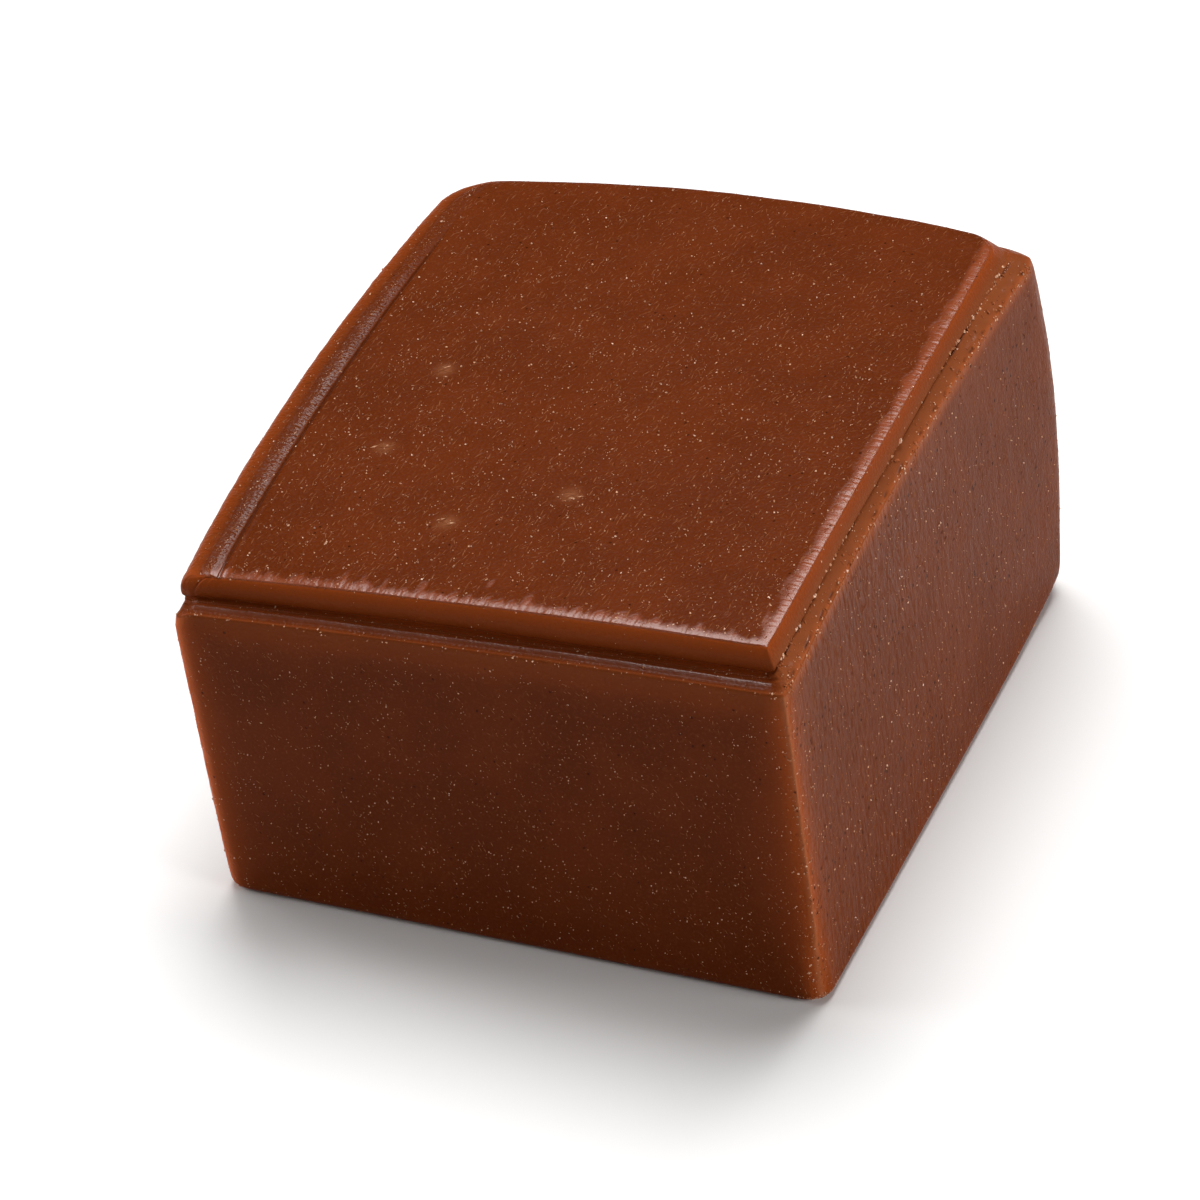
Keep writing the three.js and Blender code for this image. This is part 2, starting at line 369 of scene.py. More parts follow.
u, v = shares(x, y)
x = x + np.where(u > 0, swelling("right"), -swelling("left")) * np.abs(u) ** EDGE_POWER * (1 - v**2)
y = y + np.where(v > 0, swelling("back"), -swelling("front")) * np.abs(v) ** EDGE_POWER * (1 - u**2)
x = x - SLAB_PULL * over_ledge * np.clip(u, 0, 1) ** EDGE_POWER * ((v + 1) / 2) ** EDGE_POWER
wall_end = weigh({side: rise for side, (inset, rise) in CUT["wall end"].items()})
wall_top = rim_z(x, y) + wall_end * slab_rise(x, y)
wall_z = blend(foot_round * (1 - np.cos(foot_turn)), wall_top, to_rim)
cut_z = rim_z(x, y) + np.where(on_top, 1, weigh(rises)) * slab_rise(x, y)
z = np.where(level > RIM_LEVEL, cut_z, wall_z)
print("formed block:", [round(float(np.ptp(part)), 2) for part in (x, y, z)], "mm")

# %% [markdown]
# Beside the left edge a crease runs along the top and out through the front, in a shallow gutter, with a
# finer crease next to it at its front end. It fades at the back. The strip left of it carries a low ridge.
# All round, the top ends in a narrow bevel that steepens to its edge and catches a line of light.

# %% Crease, ridge and bevel
CREASE_IN = 0.8
CREASE_FADE = (12.5, 8.0)
CREASE = {"inset": CREASE_IN, "width": 0.05, "fade": CREASE_FADE}
CREASE_DEPTH = 0.12
CREASE_NOTCH = 0.03
FINE_CREASE = {"inset": 1.12, "width": 0.06, "fade": (-9.0, -12.5)}
FINE_CREASE_DEPTH = 0.05
GUTTER = {"inset": 0.66, "width": 0.12, "fade": CREASE_FADE}
GUTTER_DEPTH = 0.04
STRIP_RIDGE = {"inset": 0.33, "width": 0.2, "rise": 0.03}
BEVEL = sided(0.55, 0.55, 0.5, 0.4)
BEVEL_DROP = sided(0.034, 0.044, 0.066, 0.066)
BEVEL_POWER = 3
TOP_LIFT = 0.06

from_left = raw_x + HALF_WIDTH
to_edge = sided(raw_y + HALF_DEPTH, HALF_WIDTH - raw_x, HALF_DEPTH - raw_y, from_left)


def hump(distance, width):
    """1 at no distance, falling off smoothly to both sides."""
    return np.exp(-((distance / width) ** 2))


def furrow(inset, width, fade):
    """1 along a line at an inset from the left edge, fading in towards the front."""
    return hump(from_left - inset, width) * ease(raw_y, *fade)


def bevel(side):
    """How far the bevel drops at each vertex towards this edge of the top, steepest at the edge."""
    return BEVEL_DROP[side] * np.clip(1 - to_edge[side] / BEVEL[side], 0, 1) ** BEVEL_POWER


crease = furrow(**CREASE)
furrows = CREASE_DEPTH * crease + FINE_CREASE_DEPTH * furrow(**FINE_CREASE)
furrows = furrows + GUTTER_DEPTH * furrow(**GUTTER)
strip_ridge = hump(from_left - STRIP_RIDGE["inset"], STRIP_RIDGE["width"])
on_band = ease(cut_level, cut_place("back"), cut_place("belly"))
creased = np.where(on_top, 1, on_band * weights["front"])
bevels = sum(bevel(side) for side in SIDES)
z = z - creased * furrows
z = z + on_top * (TOP_LIFT - bevels + STRIP_RIDGE["rise"] * strip_ridge)
y = y + ~on_top * on_band * CREASE_NOTCH * crease * weights["front"]
print("crease at", round(float(x[on_top & (crease > 0.9)].mean()), 2), "mm")

# %% [markdown]
# The block becomes a mesh object, smooth shaded, and is set on the middle of the solid that it replaces.

# %% The fudge piece
low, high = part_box("fudge")
middle = (np.array(low) + np.array(high)) / 2 / MM
x = x + middle[0] - (x.max() + x.min()) / 2
y = y + middle[1] - (y.max() + y.min()) / 2
for vertex, place in zip(raw.verts, np.column_stack((x, y, z)) * MM):
    vertex.co = place
bmesh.ops.recalc_face_normals(raw, faces=raw.faces[:])
block_mesh = bpy.data.meshes.new("fudge_block")
raw.to_mesh(block_mesh)
raw.free()
block_mesh.shade_smooth()
block = bpy.data.objects.new("fudge_block", block_mesh)
bpy.context.scene.collection.objects.link(block)
print("fudge block:", len(block_mesh.polygons), "faces")

# %% [markdown]
# No wall of real fudge is flat. It has waves and lumps, the knife's streaks down the right wall, a torn
# ledge, wrinkles on the strip beside the crease, scallops down the left upright edge and a frayed lip at
# the front left. A texture could displace the mesh, but noise in the script lets each kind of relief keep
# to its own zone. The zones come first, as numbers from 0 to 1.

# %% Zones of the relief
TORN_LEVELS = 1.8
STRIP_FADE = 0.3
SCALLOP_REACH = 0.5
FRAY_REACH = 1.2
FRAY_LEVELS = 0.8
FLOOR_FADE = (0.1, 1)


def at_cut(name, levels):
    """1 at a named point of the cut, falling off within some levels."""
    return hump(cut_level - cut_place(name), levels)


points = np.column_stack((x, y, z))
on_wall = ease(level, FOOT_LEVELS, FOOT_LEVELS + 2) * (1 - ease(level, RIM_LEVEL - 1, RIM_LEVEL))
off_floor = ease(z, *FLOOR_FADE)
torn = weights["right"] * at_cut("bead", TORN_LEVELS)
strip = np.where(on_top, 1 - ease(from_left, CREASE_IN - STRIP_FADE, CREASE_IN), weights["left"] * on_band)
scalloped = hump(from_left, SCALLOP_REACH) * hump(to_edge["front"], SCALLOP_REACH) * on_wall
frayed = weights["front"] * hump(from_left, FRAY_REACH) * at_cut("lip", FRAY_LEVELS)
print("torn vertices on the right ledge:", int((torn > 0.5).sum()))

# %% [markdown]
# The knife left slits along the torn ledge, in two rows: one along the rim and one in the corner under the
# slab. They come and go, so noise along the ledge opens them.

# %% Slits
SLITS = {"size": 0.6, "shift": 9.2, "open": (0.1, 0.4), "depth": 0.06}
SLIT_ROWS = (1.8, 6.0)
SLIT_WIDTH = 0.6
SLIT_DRIFT = 0.1


def lumps(places, size, shift):
    """Smooth noise between about -1 and 1 at each place; shift picks another pattern."""
    offset = Vector((shift, 2 * shift, 3 * shift))
    return np.array([noise.noise(Vector(place) / size + offset) for place in places])


along_ledge = np.column_stack((0 * x, y, SLIT_DRIFT * cut_level))
slits = ease(lumps(along_ledge, SLITS["size"], SLITS["shift"]), *SLITS["open"]) * weights["right"]
slits = slits * sum(hump(cut_level - row, SLIT_WIDTH) for row in SLIT_ROWS)
print("vertices in slits:", int((slits > 0.5).sum()))

# %% [markdown]
# Now the kinds of relief are summed up and push the vertices along their normals. Each has the size of its
# lumps and its depth in millimetres. Streaks and wrinkles are lumps that are read at stretched places.

# %% Relief
WAVE = {"size": 5.0, "depth": 0.05, "shift": 3.1}
LUMP = {"size": 1.3, "depth": 0.014, "shift": 7.7}
GRAIN = {"size": 0.45, "depth": 0.006, "shift": 1.3}
TEARS = [{"size": 0.5, "depth": 0.06, "shift": 5.9}, {"size": 0.22, "depth": 0.025, "shift": 5.9}]
STREAK = {"size": 0.35, "depth": 0.012, "shift": 4.4}
STREAK_STRETCH = 8
WRINKLE = {"size": 0.3, "depth": 0.02, "shift": 6.5}
WRINKLE_SLANT = 0.7
WRINKLE_DRIFT = 0.2
SCALLOP = {"size": 0.55, "depth": 0.07, "shift": 2.2}
FRAY = {"size": 0.3, "depth": 0.12, "shift": 8.3}


def swells(places, size, depth, shift):
    """Lumps of this depth in millimetres at each place."""
    return depth * lumps(places, size, shift)


stretched = np.column_stack((x, y, z / STREAK_STRETCH))
slanted = np.column_stack((x, y + WRINKLE_SLANT * x, z * WRINKLE_DRIFT))
relief = sum(swells(points, **kind) for kind in (WAVE, LUMP, GRAIN))
relief += torn * sum(swells(points, **tear) for tear in TEARS)
relief += on_wall * weights["right"] * swells(stretched, **STREAK)
relief += strip * swells(slanted, **WRINKLE)
relief -= scalloped * np.abs(swells(points, **SCALLOP))
relief -= slits * SLITS["depth"]
relief += frayed * swells(points, **FRAY)
normals = np.empty(3 * len(points), np.float32)
block_mesh.vertex_normals.foreach_get("vector", normals)
points = points + (off_floor * relief)[:, None] * normals.reshape(-1, 3)
block_mesh.vertices.foreach_set("co", (points * MM).ravel())
block_mesh.update()
print("relief from", round(float(relief.min()), 3), "to", round(float(relief.max()), 3), "mm")

# %% [markdown]
# Some of the finish follows the form. Where it does is stored with the mesh, as one number for each vertex
# that the material reads by name. A painted image would need an unwrapped surface, and a number needs none.
# The first such place is the bevel of the top, polished at the front and on the right to a ragged border.

# %% Polished bevels
POLISH = {
    "front": {"strength": 1.5, "full": 0.02, "end": 0.65, "ragged": 0.6},
    "right": {"strength": 1.4, "full": 0.05, "end": 0.65, "ragged": 0.3},
}
RAGS = {"size": 0.3, "shift": 1.9}
RAG_DRAW = (1, 0.3, 1)


def store(name, values, mesh=block_mesh):
    """Keeps one number for each vertex of the mesh under this name."""
    attribute = mesh.attributes.new(name, "FLOAT", "POINT")
    attribute.data.foreach_set("value", values.astype(np.float32))


def near(side, full, end, rags=0.0):
    """1 on the top from its edge on this side to a full distance, 0 from an end distance inwards."""
    return on_top * (1 - ease(to_edge[side] + rags * to_edge[side] / end, full, end))


def polished(side, strength, full, end, ragged):
    """How much the bevel on this side is polished."""
    return strength * near(side, full, end, ragged * border_lumps)


border_lumps = lumps(points * RAG_DRAW, **RAGS)
on_bevel = np.maximum.reduce([polished(side, **polish) for side, polish in POLISH.items()])
print("polished vertices:", int((on_bevel > 0.5).sum()))

# %% [markdown]
# Fudge lets some light through, so thin edges glow warmer than the faces. Real scattering would be slow to
# render, so this glow is painted into the colour as a warmer tone. It also paints part of the light on the
# polished bevels and the upright edges, and it lifts the shade in the front groove. How much of it a vertex
# gets is worked out here, for the points of the cut, the upright edges and the foot, and it fades with the
# distance from them.

# %% Painted glow where light shines through
CUT_GLOW = {
    "wall end": sided(0.25, 0.10, 0.20, 0.15),
    "rim": sided(0.30, 1.00, 0.40, 0.25),
    "valley": sided(0.10, 0.50, 0.40, 0.30),
    "bead": sided(0.05, 0.30, 0.30, 0.30),
    "crack": sided(0.50, 0.25, 0.30, 0.30),
    "ridge": sided(0.60, 0.30, 0.30, 0.30),
    "floor": sided(1.00, 0.40, 0.40, 0.30),
    "back": sided(1.00, 0.40, 0.40, 0.30),
    "lip": sided(0.30, 0.25, 0.40, 0.30),
    "belly": sided(0.50, 0.35, 0.40, 0.35),
    "arris": sided(1.00, 0.65, 0.50, 0.60),
    "edge": sided(0.40, 0.55, 0.30, 0.10),
}
CORNER_GLOW = cornered(2.0, 1.1, 0.4, 0.4)
CORNER_GLOW_REACH = cornered(0.6, 0.7, 0.5, 0.6)
EDGE_GLOW_REACH = 0.5
FOOT_GLOW = 0.4
FULL_GLOW = 2


def cut_glow(side):
    """The glow of each vertex's level of the cut on this side."""
    glows = [CUT_GLOW[name][side] for name in CUT_POINTS]
    return np.interp(cut_level, range(len(CUT_POINTS)), glows)


walls = cut_level < cut_place("rim")
to_corner = np.maximum(HALF_WIDTH - np.abs(raw_x), HALF_DEPTH - np.abs(raw_y))
below_rim = np.clip(wall_top - z, 0, None) * (cut_level < 0)
cut_edge = np.exp(-below_rim / EDGE_GLOW_REACH) * weigh({side: cut_glow(side) for side in SIDES})
cut_edge = cut_edge * np.where(on_top, np.clip(on_bevel, 0, 1), 1)
upright_edge = corner_value(CORNER_GLOW) * np.exp(-to_corner / corner_value(CORNER_GLOW_REACH)) * walls
foot_edge = FOOT_GLOW * np.exp(-z / EDGE_GLOW_REACH)
glow = np.maximum.reduce([cut_edge, upright_edge, foot_edge])
# The glow is painted light: a warmer colour for light through thin edges, on the bevels and upright edges,
# and in the shaded groove.
store("glow", glow / FULL_GLOW)
print("glow on", int((glow > 0.5).sum()), "vertices")

# %% [markdown]
# The skin is satin, and some places shine like wax: the bevels, the bead and the fine ridge in the front
# groove, the strip beside the crease and the torn ledge. The dry right wall has a broad soft sheen that
# grows to its rim. The strongest of these shines is stored.

# %% Where the skin shines
BEAD_SHINE = {"strength": 1.9, "levels": 0.5}
RIDGE_SHINE = {"strength": 2.0, "levels": 0.45}
GROOVE_START = (0.3, 1.0)
GROOVE_END = (0.3, 0.8)
STRIP_SHINE = 0.7
STRIP_SHINE_FADE = (0, 12)
STRIP_OUTER = (-0.1, 0.1)
STRIP_INNER = (CREASE_IN - 0.2, CREASE_IN - 0.08)
LEDGE_SHINE = 0.8
LEDGE_START = (0.2, 1.2)
RIGHT_SHEEN = (0.13, 0.235)
SHEEN_START = (0.2, 1.2)
TOP_SHEEN = 0.035
FRONT_SHEEN = 0.13
HIDDEN_SHEEN = 0.16
BAND_SHEEN = 0.1

dry_wall = weights["right"] * walls
front_wall = weights["front"] * walls
hidden_wall = (weights["back"] + weights["left"]) * walls
groove = ease(to_edge["right"], *GROOVE_END) * ease(from_left, *GROOVE_START) * weights["front"]


def groove_shine(name, strength, levels):
    """The shine along a named point of the front groove."""
    return strength * groove * at_cut(name, levels)


strip_shine = STRIP_SHINE * (1 - ease(raw_y, *STRIP_SHINE_FADE)) * on_top
strip_shine = strip_shine * ease(from_left, *STRIP_OUTER) * (1 - ease(from_left, *STRIP_INNER))
ledge_shine = LEDGE_SHINE * torn * ease(to_edge["front"], *LEDGE_START)
sheen = TOP_SHEEN * on_top + blend(*RIGHT_SHEEN, to_rim) * ease(z, *SHEEN_START) * dry_wall
sheen = sheen + FRONT_SHEEN * front_wall + HIDDEN_SHEEN * hidden_wall
sheen = sheen + BAND_SHEEN * weights["front"] * on_band * ~on_top
groove_shines = (groove_shine("bead", **BEAD_SHINE), groove_shine("ridge", **RIDGE_SHINE))
store("shine", np.maximum.reduce([on_bevel, *groove_shines, strip_shine, ledge_shine, sheen]))
print("sheen of the right wall:", round(float(sheen[dry_wall > 0.5].mean()), 3))

# %% [markdown]
# Fudge is paler where its skin is broken: in four blisters on the top, where air rose under it, and on the
# torn ledge. Paler colour also paints a highlight down the front right upright edge and along the front rim.
# On the right wall it is partly a dry bloom and partly painted sheen. Painted shade darkens the slits, the
# crease and the left end of the groove. Pits, where grains fell out, are densest on the right wall, and the
# dark in them is painted shade.

# %% Pale places, painted highlights, painted shade and pits
BLISTERS = [(-7.6, -0.2, 0.4), (-7.95, -5.65, 0.36), (0.85, -7.3, 0.4), (-3.4, -9.9, 0.42)]
BLISTER_HALO = {"pale": 0.45, "width": 1}
BLISTER_CORE = {"pale": 0.4, "width": 0.4}
LEDGE_PALE = 0.3
EDGE_HIGHLIGHT = {"pale": 0.5, "width": 0.15}
RIM_HIGHLIGHT = {"pale": 0.12, "levels": 0.8}
RIGHT_BLOOM_AND_SHEEN = (0.05, 0.1)
PAINTED_SHADE_SHARE = 0.55
GROOVE_SHADE_FADE = (2, 9)
PITTING = {"top": 0.2, "plain": 0.25, "dry": 0.5}

from_blisters = [np.hypot(x - spot_x, y - spot_y) / spread for spot_x, spot_y, spread in BLISTERS]
from_blister = np.min(from_blisters, axis=0)
blister = sum(ring["pale"] * hump(from_blister, ring["width"]) for ring in (BLISTER_HALO, BLISTER_CORE))
under_slab = ease(cut_level, 0, 1) * (1 - ease(cut_level, cut_place("lip"), cut_place("arris")))
# The front right upright edge and the front rim are made paler as a painted highlight.
edge_highlight = hump(to_corner, EDGE_HIGHLIGHT["width"]) * on_right * ~on_back * walls
front_rim_highlight = weights["front"] * at_cut("rim", RIM_HIGHLIGHT["levels"])
pale = on_top * blister + LEDGE_PALE * weights["right"] * under_slab
pale = pale + EDGE_HIGHLIGHT["pale"] * edge_highlight + RIM_HIGHLIGHT["pale"] * front_rim_highlight
# On the right wall the paler tone is partly a dry bloom and partly painted sheen that grows to the rim.
store("pale", pale + blend(*RIGHT_BLOOM_AND_SHEEN, to_rim) * dry_wall)

# Painted shade: darker colour in the slits, the crease and the left end of the front groove.
groove_floor = (cut_place("floor") + cut_place("back")) / 2
groove_end_shade = weights["front"] * hump(cut_level - groove_floor, 1) * (1 - ease(from_left, *GROOVE_SHADE_FADE))
store("painted_shade", slits + PAINTED_SHADE_SHARE * on_top * crease + PAINTED_SHADE_SHARE * groove_end_shade)
plain_walls = front_wall + hidden_wall
store("pitting", PITTING["top"] * on_top + PITTING["plain"] * plain_walls + PITTING["dry"] * dry_wall)
print("blisters:", len(BLISTERS), "with", int((on_top & (blister > 0.4)).sum()), "pale vertices")

# %% [markdown]
# Some wrinkles are combed: down the right wall near its front, across the bevels and across the strip. One
# pattern does for all if the places it reads are drawn out along the right axis, so these places are stored
# too. The depth of the combing is the lead of a vertex's strongest zone over the next, so it fades where
# zones meet.

# %% Combed places
COMB_LOSS = 0.8
COMB_FADE = (-10, 6)

wall_comb = dry_wall * (1 - COMB_LOSS * ease(y, *COMB_FADE))
combs = [
    {"zone": wall_comb, "size": 0.3, "draw": (1, 1, 0.4), "depth": 0.13},
    {"zone": near("front", 0.3, 1.3), "size": 0.24, "draw": (1, 0.2, 1), "depth": 0.02},
    {"zone": near("right", 0.2, 0.9), "size": 0.2, "draw": (0.2, 1, 1), "depth": 0.02},
    {"zone": strip, "size": 0.13, "draw": (0.5, 1, 1), "depth": 0.08},
]
comb_zones = np.stack([comb["zone"] for comb in combs])
strongest = comb_zones.argmax(axis=0)
weaker, lead = np.sort(comb_zones, axis=0)[-2:]


def of_strongest(key):
    """What the strongest comb at each vertex has under this key."""
    return np.array([comb[key] for comb in combs])[strongest]


drawn_places = points * of_strongest("draw") / of_strongest("size")[:, None] * MM
comb_attribute = block_mesh.attributes.new("comb", "FLOAT_VECTOR", "POINT")
comb_attribute.data.foreach_set("vector", drawn_places.astype(np.float32).ravel())
store("comb_depth", of_strongest("depth") * (lead - weaker))
print("combed vertices:", int((lead - weaker > 0.5).sum()))

# %% [markdown]
# Materials are networks of nodes. To read like sums, a small class wraps a socket: arithmetic on it adds
# Math nodes, and one method adds any other node, with its settings first and then its inputs. All patterns
# read places in metres, so a pattern of one millimetre has a scale of a thousand.

# %% Shader arithmetic
class Shade:
    """A socket of a material's node tree that can be added, multiplied and so on."""

    def __init__(self, tree, socket=None):
        self.tree = tree
        self.socket = socket

    def at(self, socket):
        """Another socket of the same tree."""
        return Shade(self.tree, socket)

    def node(self, kind, settings=(), inputs=(), output=0):
        """Adds a node of any kind, and gives one of its outputs."""
        made = self.tree.nodes.new(kind)
        for name, value in dict(settings).items():
            setattr(made, name, value)
        for name, value in dict(inputs).items():
            if isinstance(value, Shade):
                self.tree.links.new(value.socket, made.inputs[name])
            else:
                made.inputs[name].default_value = value
        return self.at(made.outputs[output])

    def math(self, operation, *values):
        return self.node("ShaderNodeMath", {"operation": operation}, enumerate(values))

    def __add__(self, other):
        return self.math("ADD", self, other)

    def __sub__(self, other):
        return self.math("SUBTRACT", self, other)

    def __rsub__(self, other):
        return self.math("SUBTRACT", other, self)

    def __mul__(self, other):
        return self.math("MULTIPLY", self, other)

    __radd__ = __add__
    __rmul__ = __mul__

    def step(self, start, end):
        """0 at start, 1 at end, smooth in between."""
        settings = {"interpolation_type": "SMOOTHSTEP"}
        return self.node("ShaderNodeMapRange", settings, {0: self, 1: start, 2: end})

    def stored(self, name, output=2):
        """What the mesh keeps under this name: output 2 is a number, and output 1 a vector."""
        return self.node("ShaderNodeAttribute", {"attribute_name": name}, output=output)

    def mottle(self, size, detail=0.0):
        """Smooth noise around 0.5 at these places, with lumps of this size in millimetres."""
        inputs = {"Vector": self, "Scale": 1 / (size * MM), "Detail": detail}
        return self.node("ShaderNodeTexNoise", inputs=inputs)

    def between(self, low, high):
        """The colour low where this is 0, and high where it is 1."""
        return self.node("ShaderNodeMix", {"data_type": "RGBA"}, {0: self, 6: low, 7: high}, output=2)

    def feeds(self, shader, name):
        self.tree.links.new(self.socket, shader.inputs[name])


def new_finish(name):
    """A material, its ready-made shader, and the object's own coordinates in it."""
    made = bpy.data.materials.new(name)
    made.use_nodes = True
    places = Shade(made.node_tree).node("ShaderNodeTexCoord", output=3)
    return made, made.node_tree.nodes["Principled BSDF"], places


print("shader arithmetic ready")

# %% [markdown]
# The skin of fudge is cooked sugar. Its patterns come first: broad mottling, fine wrinkles, the combing of
# the zones above, and pits. Pits are round spots in some cells of a cell pattern. Where the stored pitting
# is stronger, there are more of them and they are larger.

# %% Patterns of the skin
MOTTLE = {"size": 3.0, "detail": 2.0}
MOTTLE_STEP = (0.35, 0.65)
FINE = {"size": 0.13, "detail": 1.0}
COMB_PATTERN = {"size": 1.0, "detail": 1.0}
PIT_CELL = 0.45
PIT_RADIUS = 0.045
PIT_GROWTH = 0.08
PIT_CORE = 0.5

finish, skin, skin_place = new_finish("fudge")


def spots(cell, radius, share):
    """Round spots of this radius in a share of the cells, which have this size in millimetres."""
    inputs = {"Vector": skin_place, "Scale": 1 / (cell * MM)}
    away = skin_place.node("ShaderNodeTexVoronoi", inputs=inputs)
    cell_colour = away.at(away.socket.node.outputs["Color"])
    chance = skin_place.node("ShaderNodeSeparateColor", inputs={0: cell_colour})
    chosen = skin_place.math("LESS_THAN", chance, share)
    return (1 - away.step(radius * (PIT_CORE / cell), radius * (1 / cell))) * chosen


pitting = skin_place.stored("pitting")
pits = spots(PIT_CELL, pitting * PIT_GROWTH + PIT_RADIUS, pitting)
mottling = skin_place.mottle(**MOTTLE).step(*MOTTLE_STEP)
fine = skin_place.mottle(**FINE)
combing = skin_place.stored("comb", output=1).mottle(**COMB_PATTERN) * skin_place.stored("comb_depth")
print("nodes in the patterns:", len(finish.node_tree.nodes))

# %% [markdown]
# The colour is laid on in coats, as a painter would do it: the mottled brown, the amber of the painted glow,
# the tan of broken places together with painted highlights and sheen, a painted highlight on the crests of
# the fine wrinkles, and the painted shade in pits, slits, the crease and the groove.

# %% Colour of the skin
BROWN = (0.112, 0.0202, 0.0034, 1)
DEEP_BROWN = (0.098, 0.0174, 0.0028, 1)
AMBER = (0.5, 0.095, 0.016, 1)
PALE_TAN = (0.27, 0.1, 0.042, 1)
CREST_HIGHLIGHT = (0.20, 0.056, 0.016, 1)
SHADE_BROWN = (0.042, 0.008, 0.002, 1)
CREST_STEP = (0.5, 0.8)
CREST_HIGHLIGHT_SHARE = 0.25
PIT_SHADE_SHARE = 0.7
SLIT_SHADE_SHARE = 0.65

colour = mottling.between(DEEP_BROWN, BROWN)
# Painted glow: amber where light would shine through or catch the edges.
colour = skin_place.stored("glow").between(colour, AMBER)
# Pale tan: broken skin, plus the painted highlights on the front right edge and the front rim and the
# painted sheen on the right wall.
colour = skin_place.stored("pale").between(colour, PALE_TAN)
# Painted highlight: the crests of the fine wrinkles are lighter, as if they catch the light.
colour = (fine.step(*CREST_STEP) * CREST_HIGHLIGHT_SHARE).between(colour, CREST_HIGHLIGHT)
# Painted shade: the pits, slits, crease and groove end are darkened.
colour = (pits * PIT_SHADE_SHARE + skin_place.stored("painted_shade") * SLIT_SHADE_SHARE).between(colour, SHADE_BROWN)
print("nodes with the colour:", len(finish.node_tree.nodes))

# %% [markdown]
# One shader can't be both the dull skin and its waxy places, because the strength of its gloss is one
# number all over. So there are two, with the same colour and bump: one with hardly any gloss and a glossy
# one, and the stored shine mixes them. Polish flattens the fine wrinkles, so their bump is lower there.

# %% Satin and gloss of the skin
FINE_DEPTH = 0.04
POLISHED_OFF = 0.08
LEAST_FINE_DEPTH = 0.008
PIT_DEPTH = 0.06
SKIN_ROUGHNESS = 0.3
SKIN_GLOSS = 0.008
GLOSS_ROUGHNESS = 0.25
GLOSS_SHARE = 0.5

shine = skin_place.stored("shine")
fine_depth = shine.math("MAXIMUM", FINE_DEPTH - shine * POLISHED_OFF, LEAST_FINE_DEPTH)
height = fine * fine_depth - pits * PIT_DEPTH + combing
bump = height.node("ShaderNodeBump", inputs={"Height": height, "Distance": MM, "Strength": 1.0})
gloss = bump.node("ShaderNodeBsdfPrincipled").socket.node
for shader in (skin, gloss):
    colour.feeds(shader, "Base Color")
    bump.feeds(shader, "Normal")
skin.inputs["Roughness"].default_value = SKIN_ROUGHNESS
skin.inputs["Specular IOR Level"].default_value = SKIN_GLOSS
gloss.inputs["Roughness"].default_value = GLOSS_ROUGHNESS
layers = {0: shine * GLOSS_SHARE, 1: shine.at(skin.outputs[0]), 2: shine.at(gloss.outputs[0])}
surface = shine.node("ShaderNodeMixShader", inputs=layers)
surface.feeds(finish.node_tree.nodes["Material Output"], "Surface")
block_mesh.materials.append(finish)
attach(block, "root")
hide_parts("fudge")
print("nodes in the finish:", len(finish.node_tree.nodes))

# %% [markdown]
# Fudge is a mass of sugar crystals, and the largest ones glint all over its skin. They could be painted
# specks, but small real facets catch the light from every side. They are clear sugar over brown fudge, so
# they look pale amber, and they are much glossier than the skin.

# %% Finish of the grains
AMBER_SUGAR = (0.38, 0.14, 0.055, 1)
PALE_SUGAR = (0.72, 0.42, 0.26, 1)
SUGAR_PATCH = 0.4
SUGAR_ROUGHNESS = 0.22

sugar, facet, sugar_place = new_finish("sugar")
clearness = sugar_place.mottle(SUGAR_PATCH).step(*MOTTLE_STEP)
clearness.between(AMBER_SUGAR, PALE_SUGAR).feeds(facet, "Base Color")
facet.inputs["Roughness"].default_value = SUGAR_ROUGHNESS
print("nodes in the grains' finish:", len(sugar.node_tree.nodes))

# %% [markdown]
# Each grain is an octahedron, which a sphere of four segments and two rings gives. It is squashed, bent out
# of shape and turned at random, and it has its middle on the skin, so half of it is sunk. Small grains are
# far more common than large ones, so a power bends the random sizes. Thousands of objects would be slow, so
# the corner points of all grains are worked out together.

# %% A grain at each place
RANDOM_SEED = 11
GRAIN_SQUASH = ((1, 0.5, 0.4), (1.2, 1, 0.8))
GRAIN_UNEVEN = (0.75, 1.15)
SIZE_POWER = 3

random = np.random.default_rng(RANDOM_SEED)
crystal = bmesh.new()
bmesh.ops.create_uvsphere(crystal, u_segments=4, v_segments=2, radius=1)


def grow(places, sizes, shape):
    """The corner points of one uneven grain of random size, squash and turn at each place."""
    count = len(places)
    corners = np.array([vertex.co for vertex in shape.verts])
    turns = np.array([Euler(angles).to_matrix() for angles in random.uniform(0, 2 * math.pi, (count, 3))])
    squash = random.uniform(*GRAIN_SQUASH, (count, 3))
    squash = squash * blend(*sizes, random.uniform(0, 1, (count, 1)) ** SIZE_POWER)
    uneven = random.uniform(*GRAIN_UNEVEN, (count, len(corners), 1))
    return np.einsum("nij,nkj->nki", turns, corners * squash[:, None] * uneven) + places[:, None]


print("faces of a grain:", len(crystal.faces))

# %% [markdown]
# Grains and ridges lie on faces of the block, so the areas, middles and normals of its faces are read as
# arrays. A search tree over the mesh finds the point of the skin that is nearest to any place.

# %% Faces of the skin
LEVEL_FACING = 0.95
TOP_FACING = 0.9
WALL_FACING = 0.8


def read_faces(name, width, kind=np.float32):
    """One row of numbers for each face of the block."""
    values = np.empty(width * len(block_mesh.polygons), kind)
    block_mesh.polygons.foreach_get(name, values)
    return values.reshape(-1, width)


def settle(places):
    """The places on the skin that are nearest to these."""
    return np.array([skin_tree.find_nearest(Vector(place) * MM)[0] for place in places]) / MM


